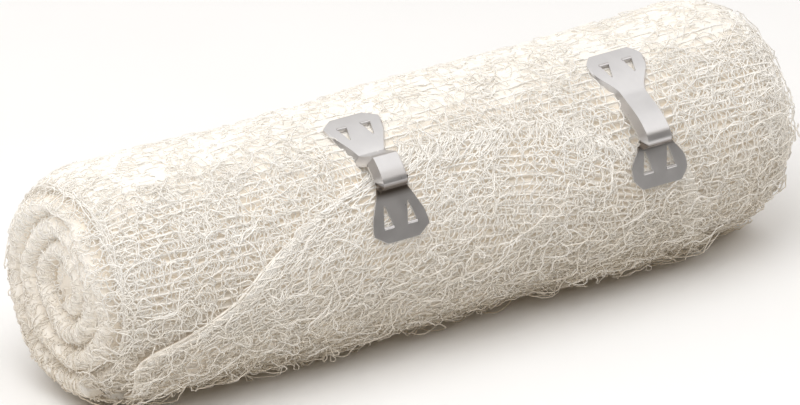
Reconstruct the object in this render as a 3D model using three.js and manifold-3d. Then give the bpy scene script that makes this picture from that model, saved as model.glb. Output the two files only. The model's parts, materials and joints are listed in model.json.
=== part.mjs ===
import * as THREE from 'three';
import { mergeVertices } from 'three/addons/utils/BufferGeometryUtils.js';
import Module from 'manifold-3d';

const wasm = await Module();
wasm.setup();

// Wound roll. It lies along X, its near end at minus X and its front at minus Y.
const rollLength = 150;
const innerRadius = 20.6;
const layerStep = 2;
const nearSwell = 0.3;
const farSwell = 0.2;
const axisHeight = 22.1;
const liftAngle = -65;
const columnCount = 96;
const ribHeight = 0.22;
const sideStations = [-50, -25, 0, 25, 50];

// Rounding of the two ends, like a quarter of an ellipse: its reach along the roll and inward.
const nearRound = { along: 13, inward: 7.5 };
const farRound = { along: 14, inward: 7.5 };

// End faces: radii of the grooves between turns, measured where the outer turn lifts off.
const grooveRadii = [2.4, 6.4, 10.6, 15.2];
const grooveDepth = 2.2;
const turnLift = [-1.6, -0.8, -0.3, 0];

// Loose end: left and right edge at each angle up the front, as distances from the near end.
const looseOutline = [
  [-64, 0.9, 132.8], [-58, 0.9, 132], [-52, 0.9, 130.8], [-46, 0.9, 129.4], [-40, 0.9, 128.3],
  [-34, 0.9, 127.2], [-28, 1, 126.4], [-24.5, 1.3, 126.1], [-21, 2.5, 125.7], [-17.5, 5, 125.4],
  [-15, 8.4, 125.3], [-13, 12, 125.2], [-9, 16.7, 124.9], [-5, 20.1, 124.3], [-2, 22.6, 123.8], [1, 25, 123.4], [4.8, 26.9, 123],
  [9, 28.5, 122.5], [13.5, 30.3, 122], [17.4, 32.6, 121], [21.4, 35, 110.4], [24.4, 36.8, 108.6],
  [28.8, 40.4, 106.3], [33.4, 44.4, 103.8], [36.4, 50, 102.2], [40.4, 53.2, 100],
  [44.4, 56.2, 97.5], [47.8, 60.7, 95.2], [50.8, 64.7, 90.2],
];
const looseThickness = 1.65;
const edgeBandWidth = 3;
const edgeBandRise = 0.25;
const clothGap = 0.35;
// The loose end bridges the near end's rounding, then follows part of what draws in past this.
const looseBridge = 2;
const looseDrape = 0.35;

// Bandage clips: one end plate from its outer edge to the waist, the same at both ends.
const clipThickness = 0.36;
const clipGap = 0.35;
const waistHalfWidth = 3.7;
const flangeDepth = 0.7;
const windowOffset = 2.5;
const windowTip = 0.2;
const toothLength = 3;
const plateRows = [
  { along: 0, halfWidth: 3.4 },
  { along: 1.1, halfWidth: 4.9 },
  { along: 2.1, halfWidth: 5.7 },
  { along: 2.7, halfWidth: 5.85, window: 1 },
  { along: 4.6, halfWidth: 5.85, window: 0.6 },
  { along: 6.5, halfWidth: 5.85, window: 0.2 },
  { along: 7.3, halfWidth: 5.7 },
  { along: 8.8, halfWidth: 4.7 },
  { along: 9.8, halfWidth: 3.9 },
];
const nearClip = {
  alongRoll: 59.8,
  topAngle: 80,
  bottomAngle: 12.6,
  bottomReach: 9.8,
  waist: [[52.6, 1.5], [50.8, 2.9], [48, 3.7], [44.5, 4], [41, 4], [39, 3.7], [37.9, 3]],
};
const farClip = {
  alongRoll: 115.2,
  topAngle: 75,
  bottomAngle: 4.8,
  bottomReach: 7.3,
  waist: [[48, 0.6], [44, 1.3], [40, 2.1], [36, 2.9], [32, 3.6], [28.5, 4], [26, 3.8], [24.6, 3]],
};

const cottonCream = { color: 0xece4d2, roughness: 0.95, metalness: 0 };
const tinplate = { color: 0xb4b0ab, roughness: 0.3, metalness: 0.95 };

const radians = THREE.MathUtils.degToRad;

function endSwell(x) {
  const near = THREE.MathUtils.smoothstep(-x, 15, 70) * nearSwell;
  const far = THREE.MathUtils.smoothstep(x, 30, 70) * farSwell;
  return near + far;
}

// Radius of the wound surface; it grows by one layer from where the loose end lifts off.
function woundRadius(x, angle) {
  const fraction = THREE.MathUtils.euclideanModulo(angle - liftAngle, 360) / 360;
  return innerRadius + endSwell(x) + layerStep * fraction;
}

// How far from the end plane the rounding lies where it has drawn in by this much.
function roundDepth(round, drop) {
  const left = THREE.MathUtils.clamp(1 - drop / round.inward, 0, 1);
  return round.along * (1 - Math.sqrt(1 - left * left));
}

// How far the rounding at the near end draws the cloth in at x.
function nearDrop(x) {
  const past = Math.max(nearRound.along - (x + rollLength / 2), 0) / nearRound.along;
  return nearRound.inward * (1 - Math.sqrt(1 - past * past));
}

function onRoll(x, angle, radius) {
  const a = radians(angle);
  const z = Math.max(radius * Math.sin(a), -axisHeight);
  return new THREE.Vector3(x, -radius * Math.cos(a), z);
}

// Collects points and triangles and turns them into a closed geometry.
class Surface {
  constructor() {
    this.positions = [];
    this.triangles = [];
  }

  point(vector) {
    this.positions.push(vector.x, vector.y, vector.z);
    return this.positions.length / 3 - 1;
  }

  triangle(a, b, c) {
    if (a !== b && b !== c && a !== c) {
      this.triangles.push(a, b, c);
    }
  }

  quad(a, b, c, d) {
    this.triangle(a, b, c);
    this.triangle(a, c, d);
  }

  geometry() {
    const geometry = new THREE.BufferGeometry();
    geometry.setAttribute('position', new THREE.Float32BufferAttribute(this.positions, 3));
    geometry.setIndex(this.triangles);
    return geometry;
  }
}

// Joins two neighbouring columns of the roll, each step taken on the column that lags behind.
function stitch(surface, left, right) {
  let i = 0;
  let j = 0;
  while (i < left.length - 1 || j < right.length - 1) {
    const nextLeft = i < left.length - 1 ? left[i + 1].order : Infinity;
    const nextRight = j < right.length - 1 ? right[j + 1].order : Infinity;
    if (nextLeft <= nextRight) {
      surface.triangle(left[i].index, left[i + 1].index, right[j].index);
      i += 1;
    } else {
      surface.triangle(left[i].index, right[j + 1].index, right[j].index);
      j += 1;
    }
  }
}

// Rings of one end face at one angle, from the middle out: radius and depth below the end.
function faceRings(fraction, rim, round) {
  const bounds = grooveRadii.map((radius, n) => {
    const next = n < grooveRadii.length - 1 ? grooveRadii[n + 1] : rim - layerStep * fraction;
    return radius + (next - radius) * fraction;
  });
  bounds.push(rim);
  const rings = [];
  for (let n = 0; n < grooveRadii.length; n += 1) {
    const outer = n === grooveRadii.length - 1;
    const before = turnLift[Math.max(n - 1, 0)];
    const after = turnLift[Math.min(n + 1, grooveRadii.length - 1)];
    const lift = THREE.MathUtils.lerp(turnLift[n], after, fraction);
    const floor = THREE.MathUtils.lerp(before, turnLift[n], fraction);
    const width = bounds[n + 1] - bounds[n];
    const crestShare = outer ? 0.5 : 0.74;
    for (const [share, depth] of [[0, grooveDepth - floor], [0.26, -lift], [crestShare, -lift]]) {
      const radius = bounds[n] + width * share;
      rings.push({ radius, depth: depth + roundDepth(round, rim - radius) });
    }
  }
  return rings;
}

// Rings of the rounding at one end, from the outer turn's crest out to where the side begins.
function roundRings(rings, rim, round) {
  const crestDrop = rim - rings[rings.length - 1].radius;
  return [0.6, 0.3, 0.1, 0].map((share) => ({
    drop: crestDrop * share, depth: roundDepth(round, crestDrop * share),
  }));
}

function rollColumn(surface, fraction, rib, nearPole, farPole) {
  const angle = liftAngle + 360 * fraction;
  const half = rollLength / 2;
  const column = [{ index: nearPole, order: 0 }];
  const nearRim = woundRadius(-half, angle);
  const nearFace = faceRings(fraction, nearRim, nearRound);
  for (const ring of nearFace) {
    const index = surface.point(onRoll(-half + ring.depth, angle, ring.radius));
    column.push({ index, order: ring.radius });
  }
  const farRim = woundRadius(half, angle);
  const farFace = faceRings(fraction, farRim, farRound);
  const stations = [
    ...roundRings(nearFace, nearRim, nearRound).map((ring) => [-half + ring.depth, ring.drop]),
    ...sideStations.map((x) => [x, 0]),
    ...roundRings(farFace, farRim, farRound).reverse().map((ring) => [half - ring.depth, ring.drop]),
  ];
  for (const [x, drop] of stations) {
    const index = surface.point(onRoll(x, angle, woundRadius(x, angle) + rib - drop));
    column.push({ index, order: 200 + x });
  }
  for (const ring of farFace.reverse()) {
    const index = surface.point(onRoll(half - ring.depth, angle, ring.radius));
    column.push({ index, order: 400 - ring.radius });
  }
  column.push({ index: farPole, order: 400 });
  return column;
}

function rollGeometry() {
  const surface = new Surface();
  const half = rollLength / 2;
  const nearPole = surface.point(new THREE.Vector3(-half + 2.4, 0, 0));
  const farPole = surface.point(new THREE.Vector3(half - 2.4, 0, 0));
  const fractions = [];
  for (let n = 0; n < columnCount; n += 1) {
    fractions.push(n / columnCount);
  }
  fractions.push(1 - 1 / 360);
  const columns = fractions.map((fraction, n) => {
    const rib = (n % 2 === 0 ? 0.5 : -0.5) * ribHeight;
    return rollColumn(surface, fraction, rib, nearPole, farPole);
  });
  for (let n = 0; n < columns.length; n += 1) {
    stitch(surface, columns[n], columns[(n + 1) % columns.length]);
  }
  return surface.geometry();
}

// Makes a closed sheet from rows of top and bottom points; open cells become windows.
function sheetGeometry(top, bottom, isOpen) {
  const surface = new Surface();
  const upper = top.map((row) => row.map((p) => surface.point(p)));
  const lower = bottom.map((row) => row.map((p) => surface.point(p)));
  const rows = top.length - 1;
  const cells = top[0].length - 1;
  const solid = (i, j) => i >= 0 && j >= 0 && i < rows && j < cells && !isOpen(i, j);
  for (let i = 0; i < rows; i += 1) {
    for (let j = 0; j < cells; j += 1) {
      if (!solid(i, j)) {
        continue;
      }
      surface.quad(upper[i][j], upper[i][j + 1], upper[i + 1][j + 1], upper[i + 1][j]);
      surface.quad(lower[i][j], lower[i + 1][j], lower[i + 1][j + 1], lower[i][j + 1]);
      if (!solid(i - 1, j)) {
        surface.quad(upper[i][j], lower[i][j], lower[i][j + 1], upper[i][j + 1]);
      }
      if (!solid(i + 1, j)) {
        surface.quad(upper[i + 1][j + 1], lower[i + 1][j + 1], lower[i + 1][j], upper[i + 1][j]);
      }
      if (!solid(i, j - 1)) {
        surface.quad(upper[i + 1][j], lower[i + 1][j], lower[i][j], upper[i][j]);
      }
      if (!solid(i, j + 1)) {
        surface.quad(upper[i][j + 1], lower[i][j + 1], lower[i + 1][j + 1], upper[i + 1][j + 1]);
      }
    }
  }
  return surface.geometry();
}

function looseEndGeometry() {
  const half = rollLength / 2;
  const rootAngle = looseOutline[0][0];
  const top = [];
  const bottom = [];
  for (const [angle, left, right] of looseOutline) {
    const innerLeft = left + edgeBandWidth + 0.7;
    const innerRight = right - edgeBandWidth - 0.7;
    const across = [left, left + 0.9, left + edgeBandWidth];
    for (let n = 0; n <= 6; n += 1) {
      across.push(innerLeft + ((innerRight - innerLeft) * n) / 6);
    }
    across.push(right - edgeBandWidth, right - 0.9, right);
    const last = across.length - 1;
    const topRow = [];
    const bottomRow = [];
    across.forEach((distance, n) => {
      const x = distance - half;
      const fromEdge = Math.min(n, last - n);
      const band = fromEdge === 1 || fromEdge === 2 ? edgeBandRise : 0;
      const sag = looseDrape * Math.max(nearDrop(x) - looseBridge, 0);
      const wound = woundRadius(x, Math.max(angle, liftAngle)) - sag;
      const under = wound + ribHeight / 2 + clothGap;
      const rise = fromEdge === 0 ? looseThickness * 0.62 : looseThickness + band;
      const lift = fromEdge === 0 ? looseThickness * 0.18 : 0;
      const topAngle = angle === rootAngle ? angle - 0.6 : angle;
      topRow.push(onRoll(x, topAngle, under + rise));
      bottomRow.push(onRoll(x, angle, under + lift));
    });
    top.push(topRow);
    bottom.push(bottomRow);
  }
  return sheetGeometry(top, bottom, () => false);
}

// Rows of a clip from its top edge to its bottom edge: angle, height, half width and window.
function clipRows(clip) {
  const x = clip.alongRoll - rollLength / 2;
  const topRadius = woundRadius(x, clip.topAngle);
  const bottomRadius = woundRadius(x, clip.bottomAngle) + layerStep;
  const overLoose = clothGap + looseThickness + clipGap;
  const degreesPerMm = (radius) => 180 / (Math.PI * radius);
  const rows = plateRows.map((row) => ({
    ...row, angle: clip.topAngle - row.along * degreesPerMm(topRadius), height: clipGap,
  }));
  for (const [angle, height] of clip.waist) {
    rows.push({ angle, height, halfWidth: waistHalfWidth, waist: true });
  }
  for (const row of plateRows.filter((plate) => plate.along <= clip.bottomReach).reverse()) {
    const angle = clip.bottomAngle + row.along * degreesPerMm(bottomRadius);
    rows.push({ ...row, angle, height: overLoose });
  }
  return rows;
}

// Centre line of a clip in the plane across the roll, with the outward direction at each row.
function clipLine(clip, rows) {
  const x = clip.alongRoll - rollLength / 2;
  const line = rows.map((row) => {
    const radius = woundRadius(x, row.angle) + ribHeight / 2 + row.height;
    return onRoll(0, row.angle, radius);
  });
  const outward = line.map((point, n) => {
    const before = line[Math.max(n - 1, 0)];
    const after = line[Math.min(n + 1, line.length - 1)];
    const along = after.clone().sub(before).normalize();
    return new THREE.Vector3(0, along.z, -along.y);
  });
  return { line, outward };
}

function clipPlate(rows, path) {
  const top = [];
  const bottom = [];
  rows.forEach((row, n) => {
    const tip = row.window ?? windowTip;
    const inner = windowOffset - tip;
    const outer = windowOffset + tip;
    const across = [-row.halfWidth, -outer, -inner, inner, outer, row.halfWidth];
    const place = (x, lift) => {
      const point = path.line[n].clone().addScaledVector(path.outward[n], lift);
      return point.setX(x);
    };
    top.push(across.map((x) => place(x, clipThickness)));
    bottom.push(across.map((x) => place(x, 0)));
  });
  const isOpen = (i, j) => Boolean(rows[i].window && rows[i + 1].window) && (j === 1 || j === 3);
  return sheetGeometry(top, bottom, isOpen);
}

function clipFlange(rows, path, side) {
  const top = [];
  const bottom = [];
  const raised = rows.filter((row) => row.waist && row.height > 3.2);
  for (const row of raised) {
    const n = rows.indexOf(row);
    const place = (x, lift) => {
      const point = path.line[n].clone().addScaledVector(path.outward[n], lift);
      return point.setX(x);
    };
    const edges = side < 0
      ? [-waistHalfWidth, -waistHalfWidth + clipThickness]
      : [waistHalfWidth - clipThickness, waistHalfWidth];
    top.push(edges.map((x) => place(x, clipThickness * 0.5)));
    bottom.push(edges.map((x) => place(x, -flangeDepth)));
  }
  return sheetGeometry(top, bottom, () => false);
}

// One triangular tooth, bent down at the wide side of its window; grow widens it for a slot.
function clipTooth(rows, path, n, side, grow) {
  const centre = path.line[n];
  const inward = centre.clone().normalize().negate();
  const along = new THREE.Vector3(0, inward.z, -inward.y);
  const halfThickness = clipThickness / 2 + grow;
  const corner = (across, depth, thick) => {
    const point = centre.clone().addScaledVector(inward, depth);
    point.addScaledVector(along, thick);
    return point.setX(side * windowOffset + across);
  };
  const base = -clipThickness * 0.6 - grow * 2;
  const wide = 1.15 + grow;
  const tip = 0.18 + grow;
  const depth = toothLength + grow;
  const faceAt = (thick) => [
    [corner(-wide, base, thick), corner(wide, base, thick)],
    [corner(-tip, depth, thick), corner(tip, depth, thick)],
  ];
  return sheetGeometry(faceAt(halfThickness), faceAt(-halfThickness), () => false);
}

function toSolid(geometry) {
  const plain = geometry.clone();
  plain.deleteAttribute('normal');
  plain.deleteAttribute('uv');
  const merged = mergeVertices(plain, 1e-4);
  const vertProperties = new Float32Array(merged.attributes.position.array);
  const triVerts = new Uint32Array(merged.index.array);
  let solid = new wasm.Manifold(new wasm.Mesh({ numProp: 3, vertProperties, triVerts }));
  if (solid.volume() < 0) {
    for (let n = 0; n < triVerts.length; n += 3) {
      [triVerts[n + 1], triVerts[n + 2]] = [triVerts[n + 2], triVerts[n + 1]];
    }
    solid = new wasm.Manifold(new wasm.Mesh({ numProp: 3, vertProperties, triVerts }));
  }
  return solid;
}

function toGeometry(solid) {
  const mesh = solid.getMesh();
  const geometry = new THREE.BufferGeometry();
  const positions = new Float32Array((mesh.vertProperties.length / mesh.numProp) * 3);
  for (let n = 0; n < positions.length / 3; n += 1) {
    for (let k = 0; k < 3; k += 1) {
      positions[n * 3 + k] = mesh.vertProperties[n * mesh.numProp + k];
    }
  }
  geometry.setAttribute('position', new THREE.BufferAttribute(positions, 3));
  geometry.setIndex(new THREE.BufferAttribute(new Uint32Array(mesh.triVerts), 1));
  geometry.computeVertexNormals();
  return geometry;
}

// Builds a clip about its own middle and the slots its teeth need in the cloth.
function buildClip(clip) {
  const rows = clipRows(clip);
  const path = clipLine(clip, rows);
  const teethRows = [3, rows.length - 4];
  let solid = toSolid(clipPlate(rows, path));
  for (const side of [-1, 1]) {
    solid = solid.add(toSolid(clipFlange(rows, path, side)));
  }
  const slots = [];
  for (const n of teethRows) {
    for (const side of [-1, 1]) {
      solid = solid.add(toSolid(clipTooth(rows, path, n, side, 0)));
      slots.push(toSolid(clipTooth(rows, path, n, side, clothGap)));
    }
  }
  const x = clip.alongRoll - rollLength / 2;
  return { solid, slots: slots.map((slot) => slot.translate([x, 0, 0])), x };
}

function addPiece(parent, name, solid, look, x) {
  const material = new THREE.MeshStandardMaterial({ ...look });
  const mesh = new THREE.Mesh(toGeometry(solid), material);
  mesh.name = name;
  mesh.position.x = x;
  parent.add(mesh);
  return mesh;
}

const part = new THREE.Group();
part.name = 'crepe_bandage_roll';
const wound = new THREE.Group();
part.add(wound);

const clips = { clip_near: buildClip(nearClip), clip_far: buildClip(farClip) };
let roll = toSolid(rollGeometry());
let looseEnd = toSolid(looseEndGeometry());
for (const clip of Object.values(clips)) {
  for (const slot of clip.slots) {
    roll = roll.subtract(slot);
    looseEnd = looseEnd.subtract(slot);
  }
}
addPiece(wound, 'roll', roll, cottonCream, 0);
addPiece(wound, 'loose_end', looseEnd, cottonCream, 0);
for (const [name, clip] of Object.entries(clips)) {
  addPiece(wound, name, clip.solid, tinplate, clip.x);
}

// The roll rests on its flat; the outline is centred over the origin.
wound.position.z = axisHeight;
part.updateMatrixWorld(true);
const outline = new THREE.Box3().setFromObject(part, true);
wound.position.y = -(outline.min.y + outline.max.y) / 2;
part.updateMatrixWorld(true);

export default part;
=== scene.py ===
import bpy
import json
import math
import numpy as np
from mathutils import Matrix, Vector

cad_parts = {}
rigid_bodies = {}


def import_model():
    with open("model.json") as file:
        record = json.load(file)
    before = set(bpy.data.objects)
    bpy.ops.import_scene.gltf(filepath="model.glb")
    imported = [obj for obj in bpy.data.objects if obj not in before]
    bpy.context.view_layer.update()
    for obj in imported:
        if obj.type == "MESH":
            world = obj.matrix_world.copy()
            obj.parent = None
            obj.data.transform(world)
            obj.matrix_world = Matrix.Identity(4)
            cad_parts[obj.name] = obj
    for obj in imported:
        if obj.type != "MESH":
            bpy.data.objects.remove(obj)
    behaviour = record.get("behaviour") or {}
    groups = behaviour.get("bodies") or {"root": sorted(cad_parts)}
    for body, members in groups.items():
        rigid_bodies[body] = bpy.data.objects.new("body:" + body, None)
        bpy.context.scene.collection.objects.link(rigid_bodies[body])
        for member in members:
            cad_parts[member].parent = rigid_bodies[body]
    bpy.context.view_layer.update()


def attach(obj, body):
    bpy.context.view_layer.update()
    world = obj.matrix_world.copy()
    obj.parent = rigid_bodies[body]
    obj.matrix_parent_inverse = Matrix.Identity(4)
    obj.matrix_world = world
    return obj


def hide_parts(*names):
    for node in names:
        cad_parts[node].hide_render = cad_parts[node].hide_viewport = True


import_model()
mm = 0.001

# Camera

photoView = {
    "azimuth": -33.0,
    "elevation": 25.5,
    "distance": 2.6,          # metres, a long lens from well back
    "frameWidth": 0.1449,     # what the width of the picture covers at the roll, metres
    "middle": (0, 0.98, 22.1),   # of the roll, millimetres
    "fromMiddle": (-0.8, -0.6),  # middle of the picture, right of and above the roll's
}


def aimCamera():
    az, el = math.radians(photoView["azimuth"]), math.radians(photoView["elevation"])
    back = Vector((math.sin(az) * math.cos(el), -math.cos(az) * math.cos(el), math.sin(el)))
    right = Vector((math.cos(az), math.sin(az), 0))
    up = back.cross(right)
    across, rise = photoView["fromMiddle"]
    target = (Vector(photoView["middle"]) + right * across + up * rise) * mm
    data = bpy.data.cameras.new("photoCamera")
    data.sensor_width = 36
    data.lens = 36 * photoView["distance"] / photoView["frameWidth"]
    data.clip_end = 50
    camera = bpy.data.objects.new("photoCamera", data)
    turn = Matrix((right, up, back)).transposed().to_4x4()
    camera.matrix_world = Matrix.Translation(target + back * photoView["distance"]) @ turn
    bpy.context.collection.objects.link(camera)
    bpy.context.scene.camera = camera


aimCamera()
print("camera placed")

# Form of the wound roll, in millimetres. Angles start at the front and rise over the top.

woundRoll = {
    "length": 150.0,
    "innerRadius": 20.6,        # of the skin just where the outer turn lifts off
    "layerStep": 2.0,           # what the radius gains in one turn
    "meanRadius": 23,
    # Change of radius and rise of the axis towards each end, and where they start and are full.
    "nearSwell": (-0.5, 15, 70), "farSwell": (-0.3, 30, 70),
    "nearLift": (0.8, 30, 75), "farLift": (0.5, 50, 75),
    "axisHeight": 22.1, "axisBack": 0.98,
    "liftAngle": -65.0,
    "nearRound": (13.0, 7.5),   # how far each end's rounding runs along the roll and inward
    "farRound": (14.0, 7.5),
    "flatTop": (40, 80, 190, 230),   # the cloth lies flattest between the middle two angles
    "ribs": 76, "ribRise": 0.36,
    "unevenness": (0.3, 30),    # height and size of its swellings
    "lumps": (0.12, 3.2),       # the same of the ground cloth's small lumps
    "sink": 0.46,               # the ground cloth lies this far under the yarns' mean level
    "columns": 304, "sideRings": 54,
}
halfLength = woundRoll["length"] / 2
ribDegrees = 360 / woundRoll["ribs"]

# Turns seen on the end faces, from the core out, where the outer turn lifts off.
endTurns = {
    "edge": [2.4, 6.4, 10.6, 15.2],        # radius of the groove inside each turn
    "groove": [3.6, 5.6, 4.6, 4.4],        # how deep each groove lies
    "crest": [1.2, 0.9, 0.5, 0.1],         # how far each crest stands back from the end
    "across": [0, 0.05, 0.12, 0.22, 0.36, 0.5, 0.64, 0.78, 0.88, 0.95],
    "offCentre": (-1.0, 2.5),              # the core lies forward of the axis and above it
    "core": [(0.35, 3.2), (0.7, 3.0)],     # rings inside the first groove: share of it, depth
    "pole": 3.4,                           # depth of the very middle
    "crown": (2.3, 0.6),                   # how full each turn's edge bulges
    "lumps": [(0.45, 13), (0.16, 2.6)],    # height and size of the coarse and the fine ones
    "shallowest": 0.15,
}

# Loose end: points along its edges and its cut end, as distance from the near end and angle.
looseEnd = {
    "nearEdge": [
        (9, -64), (8.6, -55), (7.2, -43), (6.2, -34), (5.6, -28), (5.5, -24.5), (6, -21),
        (7.6, -17.5), (9.6, -15), (12.4, -13), (16.7, -9), (20.1, -5), (25, 1), (28.5, 9),
        (30.3, 13.5), (33.6, 19.5), (36.8, 24.4), (40.6, 29), (44.4, 33.6), (50, 37.6),
        (54.6, 42.4), (57, 45.6),
    ],
    "farEdge": [
        (132.8, -64), (130.8, -52), (128.3, -40), (126.4, -28), (125.4, -17.5), (124.9, -9),
        (123.8, -2), (123, 4.8), (122, 13.5), (121, 17.4),
    ],
    "cutEnd": [
        (57, 45.6), (60.5, 48.2), (64.7, 50.6), (72, 51.6), (80, 51.8), (88.5, 50.8),
        (94.8, 47.6), (98, 43.3), (101, 38.5), (103.8, 33.4), (107.2, 27.5), (111, 22), (116, 19),
        (121, 17.4),
    ],
    "thickness": 1.3,
    "lift": 0.45,
    "bridge": 2.0,      # the near end's rounding is bridged until it draws in this far
    "drape": 0.35,
    "bandWidth": 3.0, "bandFade": 0.8, "bandRise": 0.1,
    "cutThin": (0.45, 7.0),   # share of the thickness left at the cut end, and over how far
    "run": 46,                # from the root to the cut end
    "frayTurn": 90,           # degrees that a run of 1 past the cut end stands for
    "perDegree": 0.41,        # millimetres on the roll's skin
    "topAngle": 54,           # nothing of it lies above this
    "ribs": 27, "ribRise": 0.34, "sink": 0.42,
    "rows": 96, "across": 120,
}

clipForm = {
    "near": {
        "alongRoll": 59.8, "topAngle": 80.0, "bottomAngle": 12.6, "reach": 9.8, "roundness": 0.0,
        "waist": [(52.6, 1.7), (50.6, 3.3), (48.9, 4.35), (43.5, 4.5), (38.1, 4.4), (36.7, 4.1)],
        "fold": [(36.1, 3.3, 3.3), (36.9, 2.6, 3.1)], "neck": 3.0, "lean": 0.2,
    },
    "far": {
        "alongRoll": 115.2, "topAngle": 75.0, "bottomAngle": 4.8, "reach": 8.2, "roundness": 1.0,
        "waist": [(48, 0.7), (44, 1.3), (40, 2.1), (36, 2.9), (32, 3.6), (28.4, 4.1), (25.2, 4.1),
                  (23.9, 3.8)],
        "fold": [(23.2, 3.0, 3.5), (24.2, 2.3, 3.4)], "neck": 3.5, "lean": 0.6,
    },
}

# Where the plates press on the cloth: beside their middle line, and how many degrees they span.
clipPress = {"beside": (4.8, 6.4), "top": 31, "bottom": 27, "fade": 3, "perMillimetre": 2.4}


def smoothStep(value, low, high):
    t = np.clip((value - low) / (high - low), 0, 1)
    return t * t * (3 - 2 * t)


# A smooth unevenness of about -1 to 1 over space, its bumps about size millimetres across.
def ripple(x, y, z, seed, size, count=9):
    rng = np.random.default_rng(seed)
    total = 0
    for _ in range(count):
        way = rng.normal(size=3)
        way *= 2 * math.pi / size * rng.uniform(0.6, 1.5) / np.linalg.norm(way)
        phase = rng.uniform(0, 2 * math.pi)
        total = total + np.sin(way[0] * x + way[1] * y + way[2] * z + phase)
    return total / math.sqrt(count * 0.7)


def rollRipple(x, angle, seed, size):
    a = np.radians(angle)
    mean = woundRoll["meanRadius"]
    return ripple(x, mean * np.cos(a), mean * np.sin(a), seed, size)


# How much of a change towards the ends has come in at x.
def towardsEnds(x, near, far):
    total = 0
    for side, name in ((-1, near), (1, far)):
        amount, start, full = woundRoll[name]
        total = total + smoothStep(side * x, start, full) * amount
    return total


def endSwell(x):
    return towardsEnds(x, "nearSwell", "farSwell")


def endLift(x):
    return towardsEnds(x, "nearLift", "farLift")


def woundFraction(angle):
    return np.mod(angle - woundRoll["liftAngle"], 360) / 360


# The same angle, counted within one turn from where the outer turn lifts off.
def inTurn(angle):
    return np.mod(angle - woundRoll["liftAngle"], 360) + woundRoll["liftAngle"]


# 1 over the top of the roll, where its cloth lies flatter, 0 at the front.
def topShare(angle):
    start, flat, ease, end = woundRoll["flatTop"]
    turned = inTurn(angle)
    return smoothStep(turned, start, flat) * (1 - smoothStep(turned, ease, end))


# 1 where a clip's plate presses on the cloth, 0 away from it; margin, in millimetres, widens it.
def pressed(x, angle, margin=0.0):
    total, fade = 0, clipPress["fade"]
    wider = clipPress["perMillimetre"] * margin
    for clip in clipForm.values():
        distance = np.abs(x + halfLength - clip["alongRoll"]) - margin
        beside = 1 - smoothStep(distance, *clipPress["beside"])
        for low, high in ((clip["topAngle"] - clipPress["top"], clip["topAngle"]),
                          (clip["bottomAngle"], clip["bottomAngle"] + clipPress["bottom"])):
            low, high = low - wider, high + wider
            within = smoothStep(angle, low - fade, low) * (1 - smoothStep(angle, high, high + fade))
            total = total + beside * within
    return np.clip(total, 0, 1)


def sideRadius(x, angle):
    radius = woundRoll["innerRadius"] + endSwell(x) + woundRoll["layerStep"] * woundFraction(angle)
    rise, size = woundRoll["unevenness"]
    return radius + rise * rollRipple(x, angle, 5, size) * (1 - pressed(x, angle))


def placed(x, angle, radius):
    a = np.radians(angle)
    y = woundRoll["axisBack"] - radius * np.cos(a)
    z = np.maximum(woundRoll["axisHeight"] + endLift(x) + radius * np.sin(a), 0)
    return np.stack(np.broadcast_arrays(x, y, z), -1)


def ribDrift(x, angle):
    return 0.9 * rollRipple(x, angle, 11, 60) + 0.22 * rollRipple(x, angle, 12, 15)


def ribPhase(x, angle):
    return (angle - ribDrift(x, angle)) / ribDegrees


# The ends round off like a quarter of an ellipse: how far inward at x, and how deep at a drop.
def rimDrop(x):
    total = 0
    for side, name in ((-1, "nearRound"), (1, "farRound")):
        along, inward = woundRoll[name]
        past = np.clip((side * x - halfLength + along) / along, 0, 1)
        total = total + inward * (1 - np.sqrt(1 - past * past))
    return total


def rimDepth(side, drop):
    along, inward = woundRoll["nearRound" if side < 0 else "farRound"]
    left = np.clip(1 - drop / inward, 0, 1)
    return along * (1 - np.sqrt(1 - left * left))


def sidePoint(x, angle, height):
    height = height * (1 - 0.75 * pressed(x, angle))
    return placed(x, angle, sideRadius(x, angle) + height - rimDrop(x))


# Radii of the grooves and the rim at one fraction of a turn, innermost first.
def endEdges(side, fraction):
    angle = woundRoll["liftAngle"] + 360 * fraction
    rim = sideRadius(side * (halfLength - 1), angle) - woundRoll["sink"]
    marks = endTurns["edge"] + [rim - woundRoll["layerStep"] * fraction]
    edges = []
    for n in range(4):
        radius = marks[n] + (marks[n + 1] - marks[n]) * fraction
        a = np.radians(angle)
        bend = ripple(radius * np.cos(a), radius * np.sin(a), 0 * a, 31 + int(side), 16)
        keep = smoothStep(rim - radius, 2, 6)
        edges.append(radius + 0.45 * bend * keep)
    return edges + [rim]


# How far a turn's edge bulges, from its grooves (0) to its crest (1).
def bulgeAt(across):
    power, root = endTurns["crown"]
    return (1 - np.abs(2 * across - 1) ** power) ** root


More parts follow.
